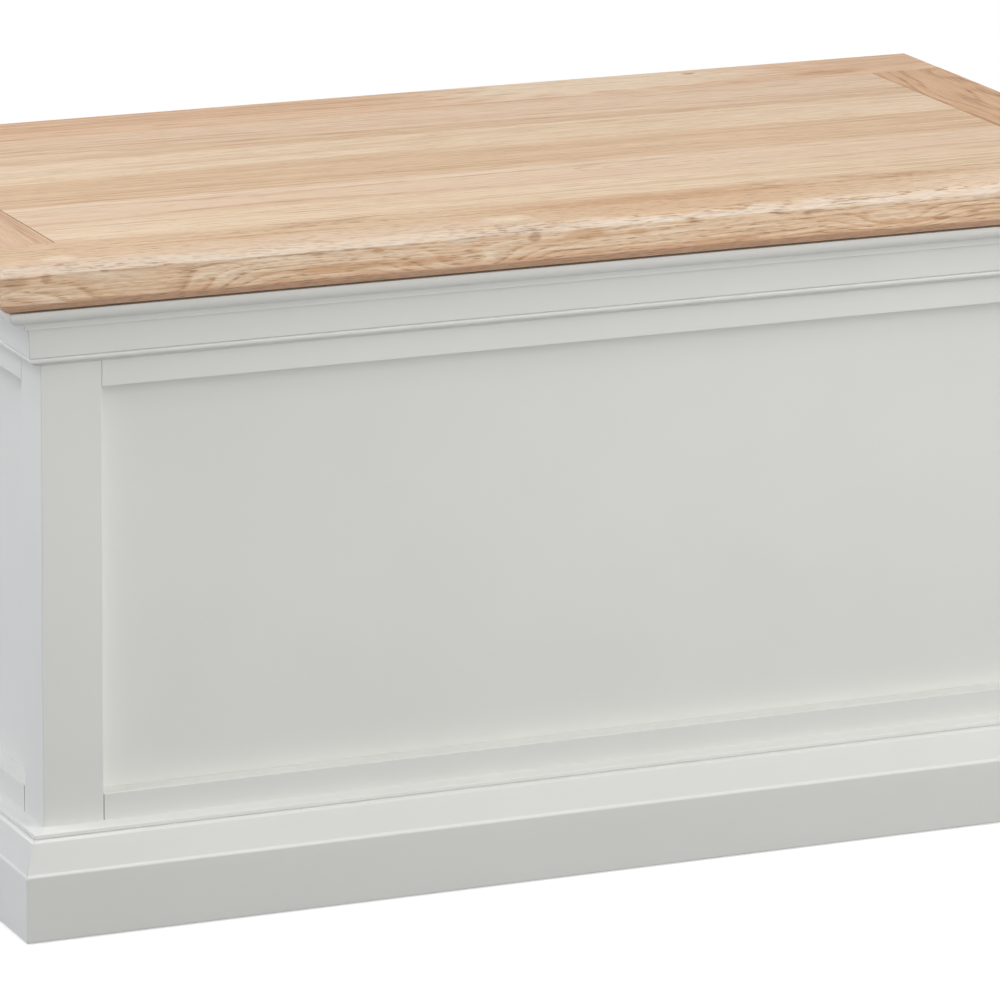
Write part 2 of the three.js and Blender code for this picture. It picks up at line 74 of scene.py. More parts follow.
camera_data = bpy.data.cameras.new("camera")
camera_data.sensor_width = SENSOR_WIDTH
camera_data.lens = SENSOR_WIDTH * LENS_PER_FRAME
camera = bpy.data.objects.new("camera", camera_data)
bpy.context.scene.collection.objects.link(camera)
turn = Matrix.Rotation(radians(CAMERA_YAW), 4, "Z")
turn = turn @ Matrix.Rotation(radians(90 - CAMERA_PITCH), 4, "X")
turn = turn @ Matrix.Rotation(radians(-CAMERA_ROLL), 4, "Z")
camera.matrix_world = Matrix.Translation(CAMERA_PLACE) @ turn
bpy.context.scene.camera = camera
print(f"lens {camera_data.lens:.1f} mm, {CAMERA_PLACE.length:.2f} m from the chest")

# %% [markdown]
# ## Colours and nodes
#
# Colours are written as sRGB hex codes, the way a paint chart gives them. Blender's shaders work
# in linear light, so one function converts them. A second small function adds a shader node,
# sets it up and wires its inputs, which keeps each material readable as a list of steps.


# %% Helpers for materials
def colour(code):
    """Linear red, green, blue and alpha from an sRGB hex code."""
    channels = [int(code[i:i + 2], 16) / 255 for i in (0, 2, 4)]
    linear = [c / 12.92 if c <= 0.04045 else ((c + 0.055) / 1.055) ** 2.4 for c in channels]
    return (*linear, 1.0)


def add_node(tree, kind, inputs=(), **settings):
    """Adds a shader node. An input is a value, or the output of another node."""
    node = tree.nodes.new("ShaderNode" + kind)
    for setting, value in settings.items():
        setattr(node, setting, value)
    for socket, value in dict(inputs).items():
        if isinstance(value, bpy.types.NodeSocket):
            tree.links.new(value, node.inputs[socket])
        else:
            node.inputs[socket].default_value = value
    return node


def new_material(name):
    """An empty material, with the piece's own coordinates to draw patterns on."""
    material = bpy.data.materials.new(name)
    material.use_nodes = True
    material.node_tree.nodes.clear()
    place = add_node(material.node_tree, "TexCoord").outputs["Object"]
    return material, material.node_tree, place


def surface(tree, **inputs):
    """The Principled shader, wired to the material's output."""
    sockets = {name.replace("_", " "): value for name, value in inputs.items()}
    shader = add_node(tree, "BsdfPrincipled", sockets)
    add_node(tree, "OutputMaterial", {"Surface": shader.outputs[0]})


print("paint chart check, mid grey:", [round(c, 3) for c in colour("808080")])

# %% [markdown]
# ## Satin paint
#
# The box is brush-painted in a warm pale grey with a satin sheen. Up close, such a coat is never
# quite flat: it has a fine dimpled skin from the foam roller, a few millimetres from dimple to
# dimple, and its sheen drifts where the coat lies thicker. Both are drawn with noise on the
# piece's own coordinates. The dimples go to the bump, and the slow drift to the roughness and,
# very slightly, to the colour.

# %% Satin paint on wood
PAINT = "e1e1dd"
PAINT_THIN = "dcdcd7"
DIMPLE = 2.5 * MM
DRIFT = 90 * MM

satin_paint, tree, place = new_material("satin_paint_on_wood")
# A pale, warm grey that looks calm and even: soft highlights on its edges, and no mirror image
skin = add_node(tree, "TexNoise", {"Vector": place, "Scale": 1 / DIMPLE, "Detail": 2.0})
drift = add_node(tree, "TexNoise", {"Vector": place, "Scale": 1 / DRIFT, "Detail": 2.0})
coat = {0: drift.outputs[0], 6: colour(PAINT), 7: colour(PAINT_THIN)}
coat = add_node(tree, "Mix", coat, data_type="RGBA")
sheen = add_node(tree, "MapRange", {0: drift.outputs[0], 3: 0.36, 4: 0.46})
dimples = {"Height": skin.outputs[0], "Distance": 0.02 * MM, "Strength": 1.0}
dimples = add_node(tree, "Bump", dimples)
surface(tree, Base_Color=coat.outputs[2], Roughness=sheen.outputs[0], Normal=dimples.outputs[0])
print("paint:", PAINT, "to", PAINT_THIN)

# %% [markdown]
# ## Oak, as it grows
#
# Each lid board is cut from a log, so its figure is a slice through the log's rings. The material
# does the same: it measures the distance from the log's pith to each point of the board and
# splits it into yearly rings. A board whose face lies across the rings shows straight lines, and
# one whose face lies along them shows arches. Because the pattern is solid, the lid's top, edge
# and ends agree with each other, as on real timber.
#
# Four things make it oak. Each ring starts with a band of open pores, which reads as a fine
# darker line. Pores are short dark dashes along the grain. Rays run out from the pith and show as
# small flecks. And the colour drifts from straw to light brown over many rings.
#
# A board's own features, such as the bend of the grain round a knot or a brown patch, are listed
# in millimetres.


# %% Lacquered oak
PORE = "8a6040"  # dirt and shadow in an open pore
YEAR = 2.4 * MM  # how far the log grows in a year
PORE_YEAR = ((0.0, 0.35), (0.14, 1.0), (0.42, 0.3), (1.0, 0.1))  # porosity through a year
RAGGED = 1.3  # how far noise frays the rim of a stain
FULL_COVER, NO_COVER = 1.05, 1.65  # a stain's cover fades out between these


def lacquered_oak(
    name, tones, pith, turned=False, tilt=0.0, wander=12, waver=1.5, contrast=1.0,
    rings=(0.16, 0.36), fibre=(3, 240), pore=(28, 0.5), figure=(), stains_and_painted_light=(), seed=0.0,
):
    """Clear-lacquered oak: a dry, silky sheen over warm stripes, dull where a pore opens.

    tones are its light, middle and dark colours, and contrast how soon the wood reaches the
    outer two. pith is the place of the log's centre line across the board (Y and Z), tilt its
    slope in degrees, and turned is for boards that run along Y. wander is how far the rings
    stray, in millimetres, and waver how finely. rings is how strongly single years and runs of
    years show. fibre is how many fibre streaks a metre holds along and across, and pore how many
    pores it holds along, and how dark they are. figure lists bends of the rings: centre, reach
    and lift. The stain list gives patches: centre, reach, colour and strength, some of them
    painted highlight and painted shade on single faces."""
    material, tree, place = new_material(name)

    def stretched(vector, per_metre):
        scaled = add_node(tree, "VectorMath", {0: vector, 1: per_metre}, operation="MULTIPLY")
        return scaled.outputs[0]

    def weighted(part, weight, rest):
        """rest, with a weight of this part added."""
        inputs = {0: part, 1: weight, 2: rest}
        return add_node(tree, "Math", inputs, operation="MULTIPLY_ADD").outputs[0]

    def nearness(centre, reach, ragged=None):
        """From 0 at a feature's centre to 1 at its rim, with a ragged rim if asked for."""
        offset = {0: board, 1: Vector(centre) * MM}
        offset = add_node(tree, "VectorMath", offset, operation="SUBTRACT")
        share = {0: offset.outputs[0], 1: Vector(reach) * MM}
        share = add_node(tree, "VectorMath", share, operation="DIVIDE")
        far = add_node(tree, "VectorMath", {0: share.outputs[0]}, operation="LENGTH")
        far = far.outputs["Value"]
        return weighted(ragged, RAGGED, far) if ragged else far

    along = radians(-90) if turned else 0.0
    board = add_node(tree, "Mapping", {"Vector": place, "Rotation": (0, 0, along)}).outputs[0]
    log = add_node(tree, "Mapping", {
        "Vector": board,
        "Location": (0, -pith[0] * MM, -pith[1] * MM),
        "Rotation": (0, 0, radians(tilt)),
    }).outputs[0]

    # The log isn't straight, so its rings wander along and across the board
    sway = {"Vector": stretched(board, (2.4, 7, 7)), "W": seed, "Scale": 1.0, "Detail": waver}
    sway = add_node(tree, "TexNoise", sway, noise_dimensions="4D")
    bend = {0: sway.outputs[1], 1: (0, wander * MM, wander * MM), 2: log}
    bent = add_node(tree, "VectorMath", bend, operation="MULTIPLY_ADD").outputs[0]
    from_pith = stretched(bent, (0, 1, 1))
    radius = add_node(tree, "VectorMath", {0: from_pith}, operation="LENGTH").outputs["Value"]
    for centre, reach, lift in figure:
        bulge = {0: nearness(centre, reach), 1: 0.0, 2: 1.0, 3: lift * MM, 4: 0.0}
        bulge = add_node(tree, "MapRange", bulge, interpolation_type="SMOOTHSTEP").outputs[0]
        radius = add_node(tree, "Math", {0: radius, 1: bulge}, operation="ADD").outputs[0]

    # Yearly rings: a porous dark start, then dense wood
    years = add_node(tree, "Math", {0: radius, 1: 1 / YEAR}, operation="MULTIPLY").outputs[0]
    season = add_node(tree, "Math", {0: years}, operation="FRACT").outputs[0]
    porous = add_node(tree, "ValToRGB", {0: season})
    stops = porous.color_ramp.elements
    for stop, (position, level) in enumerate(PORE_YEAR):
        element = stops[stop] if stop < 2 else stops.new(position)
        element.position = position
        element.color = (level, level, level, 1)
    early = porous.outputs[0]

    # Runs of years that grew alike, slow patches of colour, and fibres
    bands = {"W": years, "Scale": 0.17, "Detail": 2.0, "Roughness": 0.6}
    bands = add_node(tree, "TexNoise", bands, noise_dimensions="1D").outputs[0]
    patches = stretched(board, (3.5, 22, 22))
    patches = {"Vector": patches, "W": seed + 3, "Scale": 1.0, "Detail": 1.0}
    patches = add_node(tree, "TexNoise", patches, noise_dimensions="4D").outputs[0]
    fibres = stretched(bent, (fibre[0], fibre[1], fibre[1]))
    fibres = add_node(tree, "TexNoise", {"Vector": fibres, "Scale": 1.0, "Detail": 3.0})
    # The first value takes away what the four parts add on average, all but a half
    depth = -0.1 - 0.35 * rings[0] - 0.5 * rings[1]
    parts = ((early, rings[0]), (bands, rings[1]), (patches, 0.4), (fibres.outputs[0], 0.8))
    for part, weight in parts:
        depth = weighted(part, weight, depth)
    tone = add_node(tree, "ValToRGB", {0: depth})
    reach = 0.36 / contrast
    tone.color_ramp.elements[0].position = 0.5 - reach
    tone.color_ramp.elements[0].color = colour(tones[0])
    tone.color_ramp.elements[1].position = 0.5 + reach
    tone.color_ramp.elements[1].color = colour(tones[2])
    tone.color_ramp.elements.new(0.5).color = colour(tones[1])
    shade = tone.outputs[0]

    # Brown and pale patches, and the painted highlight and painted shade listed with them
    ragged = stretched(bent, (40, 240, 240))
    ragged = add_node(tree, "TexNoise", {"Vector": ragged, "Scale": 1.0, "Detail": 3.0}).outputs[0]
    for centre, reach, code, amount in stains_and_painted_light:
        cover = {0: nearness(centre, reach, ragged), 1: FULL_COVER, 2: NO_COVER, 3: amount, 4: 0.0}
        cover = add_node(tree, "MapRange", cover, interpolation_type="SMOOTHSTEP").outputs[0]
        shade = {0: cover, 6: shade, 7: colour(code)}
        shade = add_node(tree, "Mix", shade, data_type="RGBA").outputs[2]

    # Rays, as thin sheets that stand on the rings
    way = add_node(tree, "SeparateXYZ", {0: bent}).outputs
    angle = add_node(tree, "Math", {0: way[2], 1: way[1]}, operation="ARCTAN2").outputs[0]
    sheet = add_node(tree, "CombineXYZ", {0: way[0], 1: angle, 2: radius}).outputs[0]
    rays = {"Vector": stretched(sheet, (90, 125, 110)), "Scale": 1.0, "Detail": 1.0}
    rays = add_node(tree, "TexNoise", rays).outputs[0]
    rays = add_node(tree, "MapRange", {0: rays, 1: 0.58, 2: 0.72, 3: 0.0, 4: 0.25}).outputs[0]

    # Pores, drawn 1 mm wide, three times their real width, so that they show
    pores = {"Vector": stretched(bent, (pore[0], 1000, 1000)), "Scale": 1.0, "Detail": 1.0}
    pores = add_node(tree, "TexNoise", pores).outputs[0]
    pores = add_node(tree, "MapRange", {0: pores, 1: 0.52, 2: 0.62, 3: 0.0, 4: pore[1]}).outputs[0]
    in_season = weighted(early, 0.75, 0.25)
    pores = add_node(tree, "Math", {0: pores, 1: in_season}, operation="MULTIPLY").outputs[0]
    marks = add_node(tree, "Math", {0: rays, 1: pores}, operation="MAXIMUM").outputs[0]
    shade = {0: marks, 6: shade, 7: colour(PORE)}
    shade = add_node(tree, "Mix", shade, data_type="RGBA").outputs[2]
    gloss = add_node(tree, "MapRange", {0: marks, 1: 0.0, 2: 0.5, 3: 0.44, 4: 0.6}).outputs[0]
    relief = {"Height": marks, "Distance": -0.06 * MM, "Strength": 1.0}
    relief = add_node(tree, "Bump", relief).outputs[0]
    surface(tree, Base_Color=shade, Roughness=gloss, Normal=relief)
    return material


print("oak: rings, bands, patches, fibres, rays and pores; a year is", YEAR / MM, "mm wide")

# %% [markdown]
# ## The lid's nine boards
#
# Each board gets its own log. The rails and staves run along X, and the two end rails along Y.
# The staves are quiet: straight stripes and only one small arch. The long rails are livelier. The
# front one shows most, because its edge faces the room: its log lies behind the edge, so that the
# rings sweep along it in arches, with brown patches and a few small dark knots.

# %% Oak for each board
# Light, middle and dark colours of each kind of oak
WARM = ("e4caac", "dbbb99", "ba9067")
DEEP = ("e0c1a0", "d6b38c", "b1875c")
PALE = ("e9d0b4", "e1c5a2", "c39d75")
BROWN = ("d5ad83", "c89a6c", "a07147")
LIVELY = ("ecd9c0", "d7b592", "9f764d")
BRIGHT_PATCH = "efdabf"
BROWN_PATCH = "bb8a5a"
KNOT = "94652f"
# A stain is its centre and reach in millimetres, its colour and its strength. The first is a
# painted highlight that pales the upper chamfer, and the second is painted shade that darkens and
# warms the lower one. The third is painted shade that darkens the whole top below the edge's tone,
# the next three tone the top along its length, and the rest are single patches and knots.
FRONT_RAIL_STAINS_AND_PAINTED_LIGHT = [
    # painted highlight: pales the upper chamfer
    ((0, -222.2, 478.2), (3000, 7, 7), "dacfc0", 0.6),
    # painted shade: darkens and warms the downward-facing lower chamfer
    ((0, -222.2, 452.8), (3000, 7, 7), "c99877", 0.7),
    # painted shade: darkens the whole top face below the edge's tone
    ((0, -190, 481), (900, 45, 4), "d8b78e", 0.6),
    ((60, -190, 481), (165, 45, 4), "cda478", 0.6),
    ((-200, -210, 481), (190, 20, 4), "ddc2a6", 0.5),
    ((345, -205, 481), (150, 40, 4), "e8ccae", 0.65),
    ((-402, -205, 481), (18, 9, 6), BRIGHT_PATCH, 0.6),
    ((-260, -188, 481), (110, 5, 5), BROWN_PATCH, 0.3),
    ((-74, -202, 481), (24, 11, 6), BRIGHT_PATCH, 0.7),
    ((45, -178, 481), (160, 13, 7), BROWN_PATCH, 0.6),
    ((250, -174, 481), (90, 8, 7), BROWN_PATCH, 0.5),
    ((62, -187, 481), (10, 2, 3), KNOT, 0.6),
    ((138, -178, 481), (14, 3, 3), KNOT, 0.6),
    ((232, -176, 481), (12, 2, 3), KNOT, 0.5),
    ((-440, -225, 472), (16, 4, 6), KNOT, 0.4),
    ((-418, -225, 473), (6, 4, 5), KNOT, 0.4),
    ((-200, -225, 463), (75, 4, 3.5), BROWN_PATCH, 0.6),
    ((-222, -225, 473), (9, 4, 1.8), KNOT, 0.5),
    ((-178, -225, 472), (7, 4, 2.5), BROWN_PATCH, 0.6),
    ((-140, -225, 462), (30, 4, 3), BROWN_PATCH, 0.6),
    ((-62, -225, 472), (6, 4, 4.5), KNOT, 0.5),
    ((-22, -225, 472), (20, 4, 5), BROWN_PATCH, 0.5),
    ((15, -225, 470), (9, 4, 2.5), BROWN_PATCH, 0.5),
    ((80, -225, 458), (36, 4, 3.5), BROWN_PATCH, 0.4),
    ((150, -225, 473), (12, 4, 1.6), KNOT, 0.5),
    ((222, -225, 460), (40, 4, 3), BROWN_PATCH, 0.5),
    ((250, -225, 460), (9, 4, 1.6), KNOT, 0.7),
    ((276, -225, 463), (9, 4, 1.4), KNOT, 0.6),
]
# A bend of the rings is its centre, its reach and its lift, in millimetres
FRONT_RAIL_FIGURE = [
    ((-350, -225, 452), (115, 20, 26), 11),
    ((-115, -225, 455), (80, 20, 20), 9),
    ((80, -225, 484), (110, 20, 18), -8),
    ((215, -225, 460), (70, 20, 14), 7),
    ((60, -181, 481), (110, 16, 12), 8),
]
REAR_RAIL_STAINS = [
    ((170, 197, 481), (190, 44, 12), "ead4b6", 0.75),
    ((256, 207, 481), (8, 4, 5), KNOT, 0.8),
    ((359, 175, 481), (45, 10, 8), BROWN_PATCH, 0.85),
]
lid_oak = {
    "lid_rail_rear": lacquered_oak(
        "lacquered_oak_rear_rail", ("e0bf9b", "d8b08a", "b5895f"), (150, 390), tilt=1.2,
        waver=3, contrast=1.3, stains_and_painted_light=REAR_RAIL_STAINS, seed=1,
    ),
    "lid_stave_1": lacquered_oak("lacquered_oak_stave_1", WARM, (95, 380), tilt=0.7, seed=2),
    "lid_stave_2": lacquered_oak(
        "lacquered_oak_stave_2", PALE, (150, 390), tilt=-0.6,
        stains_and_painted_light=[((0, 87, 481), (900, 10, 12), BROWN_PATCH, 0.35)], seed=3,
    ),
    "lid_stave_3": lacquered_oak("lacquered_oak_stave_3", DEEP, (-90, 400), tilt=0.5, seed=4),
    "lid_stave_4": lacquered_oak(
        "lacquered_oak_stave_4", WARM, (-75, 360), tilt=-0.8,
        figure=[((92, -76, 481), (75, 16, 30), 7)],
        stains_and_painted_light=[((-60, -60, 481), (700, 9, 12), BRIGHT_PATCH, 0.3)], seed=5,
    ),
    "lid_stave_5": lacquered_oak("lacquered_oak_stave_5", PALE, (-60, 350), tilt=0.4, seed=6),
    "lid_rail_front": lacquered_oak(
        "lacquered_oak_front_rail", LIVELY, (-160, 425), tilt=0.8, wander=16, waver=4,
        contrast=1.05, rings=(0.24, 0.55), fibre=(9, 700), pore=(90, 0.65),
        figure=FRONT_RAIL_FIGURE, stains_and_painted_light=FRONT_RAIL_STAINS_AND_PAINTED_LIGHT, seed=7,
    ),
    "lid_rail_left": lacquered_oak(
        "lacquered_oak_left_rail", ("dfbf9f", "d1ab88", "ae835d"), (420, 380), turned=True,
        tilt=0.5, contrast=1.2, seed=8,
    ),
    "lid_rail_right": lacquered_oak(
        "lacquered_oak_right_rail", BROWN, (-424, 330), turned=True, tilt=2, wander=36, waver=4,
        contrast=1.0, rings=(0.4, 0.4), fibre=(6, 300), seed=9,
    ),
}
print("oak boards:", len(lid_oak))

# %% [markdown]
# ## Boards from the solid model
#
# A sawn board has dead sharp edges, and a finished one doesn't: sanding and paint leave a small
# round that catches the light. Each board starts as a welded copy of its solid, with the loose
# triangles joined back into flat faces. Then bevel rounds only the edges that a hand can reach.


# %% Helpers for boards
SAME_PLACE = 0.01 * MM  # points nearer than this are one point
CONVEX = radians(20)  # an edge turns outward when it turns by more than this


def solid_of(node):
    """A welded copy of a node's solid, with its flat faces whole again."""
    shape = bmesh.new()
    shape.from_mesh(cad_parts[node].data)
    bmesh.ops.remove_doubles(shape, verts=shape.verts, dist=SAME_PLACE)
    bmesh.ops.dissolve_limit(shape, angle_limit=radians(1), verts=shape.verts, edges=shape.edges)
    return shape


def soften(shape, edges, width, segments=2):
    """Rounds these edges."""
    bmesh.ops.bevel(
        shape, geom=edges, offset=width * MM, offset_type="OFFSET", affect="EDGES",
        segments=segments, profile=0.5, material=-1, clamp_overlap=True,
    )


def finish_piece(shape, name, material, slot, body, *nodes, sharp=40):
    """Turns a shape into a piece that rides on a body and stands for these nodes."""
    bmesh.ops.recalc_face_normals(shape, faces=shape.faces)
    open_edges = sum(not edge.is_manifold for edge in shape.edges)
    mesh = bpy.data.meshes.new(name)
    shape.to_mesh(mesh)
    shape.free()
    mesh.shade_smooth()
    mesh.set_sharp_from_angle(angle=radians(sharp))
    mesh.materials.append(material)
    piece = bpy.data.objects.new(name, mesh)
    bpy.context.scene.collection.objects.link(piece)
    flats = piece.modifiers.new("flat_faces_stay_flat", "WEIGHTED_NORMAL")
    flats.keep_sharp = True
    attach(piece, body)
    if nodes:
        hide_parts(*nodes)
    if open_edges:
        print("open edges:", name, open_edges)
    return piece


def long_edges(shape, least):
    """The convex edges that are at least this long."""
    return [
        edge for edge in shape.edges
        if edge.calc_length() > least * MM and edge.is_manifold
        and edge.calc_face_angle_signed() > CONVEX
    ]


print("boards ready to soften")

# %% [markdown]
# ## Lid boards
#
# The lid's chamfers are planed with a machine and their edges eased by sanding. The ends of the
# staves stop a hair short of the end rails: that thin dark line is the joint a buyer sees.

# %% Oak lid
CHAMFER_EASE = 0.7
STAVE_GAP = 1.1
JOINT_EASE = 0.25
LID_SIDE = 450
LID_FRONT = 225
RAIL_JOINT = 160  # from the lid's middle to a long rail's inner edge
END_JOINT = 388  # and to an end rail's
SQUARE = radians(80)


def is_chamfer(face):
    """Whether a face slopes at 45 degrees."""
    return 0.6 < max(abs(part) for part in face.normal) < 0.8


for node, oak in lid_oak.items():
    shape = solid_of(node)
    low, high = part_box(node)
    if "stave" in node:
        for vert in shape.verts:
            if abs(abs(vert.co.x) - END_JOINT * MM) < SAME_PLACE:
                vert.co.x -= STAVE_GAP * MM * (1 if vert.co.x > 0 else -1)
    outer = []
    for edge in shape.edges:
        if not edge.is_manifold or edge.calc_face_angle_signed() < CONVEX:
            continue
        beside_chamfer = any(is_chamfer(face) for face in edge.link_faces)
        upright = abs((edge.verts[0].co - edge.verts[1].co).z) > 10 * MM
        corner = all(
            abs(v.co.x) > (LID_SIDE - 1) * MM and abs(v.co.y) > (LID_FRONT - 1) * MM
            for v in edge.verts
        )
        joint = any(
            all(abs(abs(v.co[axis]) - at * MM) < SAME_PLACE for v in edge.verts)
            for axis, at in ((1, RAIL_JOINT), (0, END_JOINT))
        )
        if (beside_chamfer and not joint) or (upright and corner):
            outer.append(edge)
    if outer:
        soften(shape, outer, CHAMFER_EASE, 3)
    joints = [
        edge for edge in shape.edges
        if all(abs(v.co.z - high[2]) < SAME_PLACE for v in edge.verts)
        and edge.calc_length() > 100 * MM and edge.calc_face_angle_signed() > SQUARE
    ]
    if joints:
        soften(shape, joints, JOINT_EASE, 1)
    finish_piece(shape, "oak_" + node[4:], oak, "oak", "lid", node)
print("lid boards dressed")

# %% [markdown]
# ## Posts and rails
#
# The frame's long edges are eased, and the rails' shoulders stand a hair off the posts. Paint
# bridges that gap at the top and has cracked open at the bottom, as it does on the real chest.

# %% Painted frame
POST_EASE = 0.7
RAIL_EASE = 0.5
TENON = 20
TOP_GAP = 0.1
BOTTOM_GAP = 0.4
for corner in ("front_left", "front_right", "rear_left", "rear_right"):
    node = "post_" + corner
    shape = solid_of(node)
    soften(shape, long_edges(shape, 300), POST_EASE, 3)
    finish_piece(shape, "painted_" + node, satin_paint, "painted_wood", "carcass", node)
for wall in ("front", "rear", "left", "right"):
    axis = 0 if wall in ("front", "rear") else 1
    for height, gap in (("top", TOP_GAP), ("bottom", BOTTOM_GAP)):
        node = f"rail_{wall}_{height}"
        shape = solid_of(node)
        low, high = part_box(node)
        ends = (low[axis] + TENON * MM, high[axis] - TENON * MM)
        for vert in shape.verts:
            for end, way in zip(ends, (1, -1)):
                if abs(vert.co[axis] - end) < SAME_PLACE:
                    vert.co[axis] += way * gap * MM
        soften(shape, long_edges(shape, 250), RAIL_EASE)
        finish_piece(shape, "painted_" + node, satin_paint, "painted_wood", "carcass", node)
print("posts and rails dressed")

# %% [markdown]
# ## Crown and plinth
#
# A moulding is a flat outline run along a wall. The outline starts as a face with a few corners,
# and bevel rounds each corner by its own amount: a large amount makes a hollow or an ovolo, a
# small one an eased edge. The face is extruded along the front, its ends are drawn out to the
# mitres, and these are extruded on to the back. So the two corners are true mitres of one shape,
# and the long band is then cut into its three boards.

# %% Mouldings
SIDE = 406 * MM
FRONT = -181 * MM
BACK = 218 * MM
MITRE_LINE = 0.06 * MM  # the hair line that stays open at a mitre
MITRE_EASE = 0.7
HOLLOW = 2  # from this rounding on, a corner is a hollow or an ovolo and gets more segments


def cut(shape, point, normal):
    """Takes away what is in front of a plane and closes the cut."""
    everything = shape.verts[:] + shape.edges[:] + shape.faces[:]
    result = bmesh.ops.bisect_plane(
        shape, geom=everything, dist=0.001 * MM, plane_co=point, plane_no=normal, clear_outer=True,
    )
    rim = [part for part in result["geom_cut"] if isinstance(part, bmesh.types.BMEdge)]
    bmesh.ops.edgeloop_fill(shape, edges=rim)


def moulding_band(outline, foot):
    """The whole moulding round three walls. The outline's corners are millimetres out from the
    wall and up from the foot, and how far each is rounded."""
    shape = bmesh.new()
    corners = [shape.verts.new((0, FRONT - out * MM, (foot + up) * MM)) for out, up, _ in outline]
    shape.faces.new(corners)
    for corner, (_, _, rounding) in zip(corners, outline):
        if rounding:
            bmesh.ops.bevel(
                shape, geom=[corner], offset=rounding * MM, affect="VERTICES",
                segments=8 if rounding > HOLLOW else 4, profile=0.5, material=-1,
            )
    start = list(shape.verts)
    extruded = bmesh.ops.extrude_face_region(shape, geom=shape.faces[:], use_keep_orig=True)
    far = [part for part in extruded["geom"] if isinstance(part, bmesh.types.BMVert)]
    for verts, way in ((start, -1), (far, 1)):
        for vert in verts:
            vert.co.x = way * (SIDE + FRONT - vert.co.y)
    for way in (-1, 1):
        end = [f for f in shape.faces if all(v.co.x * way > SIDE - 1 * MM for v in f.verts)]
        extruded = bmesh.ops.extrude_face_region(shape, geom=end)
        for part in extruded["geom"]:
            if isinstance(part, bmesh.types.BMVert):
                part.co.y = BACK
    mitres = [
        edge for edge in shape.edges
        if all(abs(abs(v.co.x) - SIDE - (FRONT - v.co.y)) < SAME_PLACE for v in edge.verts)
        and max(FRONT - v.co.y for v in edge.verts) > 0.5 * MM
    ]
    soften(shape, mitres, MITRE_EASE, 3)
    return shape


def run_moulding(name, outline, foot):
    """Cuts the band into its front, left and right boards."""
    for wall, corners in (("front", (-1, 1)), ("left", (-1,)), ("right", (1,))):
        shape = moulding_band(outline, foot)
        for way in corners:
            outward = Vector((way, 1, 0)).normalized()
            corner = Vector((way * SIDE, FRONT, 0))
            if wall == "front":
                cut(shape, corner - outward * MITRE_LINE, outward)
            else:
                cut(shape, corner + outward * MITRE_LINE, -outward)
        node = f"{name}_{wall}"
        finish_piece(shape, "painted_" + node, satin_paint, "painted_wood", "carcass", node)


# Each corner is out from the wall, up from the foot, and its rounding
CROWN = [
    (0, 0, 0), (5.5, 1.8, 0), (9.2, 3.8, 0.4), (11.0, 4.7, 0.6), (11.3, 6.6, 0.6),
    (10.6, 7.3, 0.15), (12.2, 8.6, 0.3), (12.5, 20.5, 6), (13.7, 28.9, 0.5), (17.9, 29.5, 0.3),
    (17.9, 34.9, 0.3), (22.6, 35.3, 0.4), (31.2, 36.8, 5), (33.5, 42.3, 1), (33.5, 45.5, 0.6),
    (0, 45.5, 0),
]
PLINTH = [
    (0, 0, 0), (20, 0, 0.8), (20, 46.9, 1.1), (18.8, 48.2, 0.6), (13.4, 69.0, 0.5),
    (11.4, 70.1, 0.4), (9.8, 70.4, 0.15), (10.6, 71.2, 0.3), (10.2, 73.7, 0.4), (8.8, 74.1, 0.3),
    (0, 75.5, 0),
]
CROWN_FOOT = 402
PLINTH_FOOT = 1
run_moulding("crown", CROWN, CROWN_FOOT)
run_moulding("plinth", PLINTH, PLINTH_FOOT)
print("crown and plinth run round three walls")

# %% [markdown]
# ## Panels
#
# The panels are flat boards whose edges are hidden, so their solids stay and get the paint.

# %% Painted panels
for wall in ("front", "rear", "left", "right"):
    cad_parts["panel_" + wall].data.materials[0] = satin_paint
print("panels painted")

# %% [markdown]
# ## Plywood floor
#
# The floor and the cleats under it are birch plywood. Its face is peeled from the log like paper
# from a roll, so its figure is broad and cloudy, and its sawn edge shows the plies as thin
# stripes, every second one dark end grain. The plies are drawn as layers of the solid, half a ply
# out of step with the board's faces, so that each face lies safely inside one ply.

# %% Birch plywood
PLY = 1.5 * MM
FLOOR_LOW = 49.5 * MM
birch, tree, place = new_material("birch_plywood")
# A cream face that looks plain and dry, with brown stripes where the edge is sawn
axes = add_node(tree, "SeparateXYZ", {0: place})
climb = add_node(tree, "Math", {0: axes.outputs[2], 1: FLOOR_LOW}, operation="SUBTRACT").outputs[0]
plies = {0: climb, 1: 1 / (2 * PLY), 2: 0.25}
plies = add_node(tree, "Math", plies, operation="MULTIPLY_ADD").outputs[0]
turn_of_ply = add_node(tree, "Math", {0: plies}, operation="FRACT").outputs[0]
cross_ply = add_node(tree, "Math", {0: turn_of_ply, 1: 0.5}, operation="GREATER_THAN").outputs[0]
peel = add_node(tree, "VectorMath", {0: place, 1: (3, 16, 16)}, operation="MULTIPLY").outputs[0]
peel = {"Vector": peel, "Scale": 1.0, "Detail": 4.0, "Distortion": 1.2}
peel = add_node(tree, "TexNoise", peel).outputs[0]
veneer = add_node(tree, "ValToRGB", {0: peel})
veneer.color_ramp.elements[0].position = 0.3
veneer.color_ramp.elements[0].color = colour("dcc19a")
veneer.color_ramp.elements[1].position = 0.7
veneer.color_ramp.elements[1].color = colour("e7d2b0")
flow = add_node(tree, "VectorMath", {0: place, 1: (30, 500, 500)}, operation="MULTIPLY").outputs[0]
vessels = add_node(tree, "TexNoise", {"Vector": flow, "Scale": 1.0, "Detail": 2.0})
streak = {0: vessels.outputs[0], 1: 0.5, 2: 0.8, 3: 0.0, 4: 0.4}
streak = add_node(tree, "MapRange", streak).outputs[0]
face = {0: streak, 6: veneer.outputs[0], 7: colour("b8925f")}
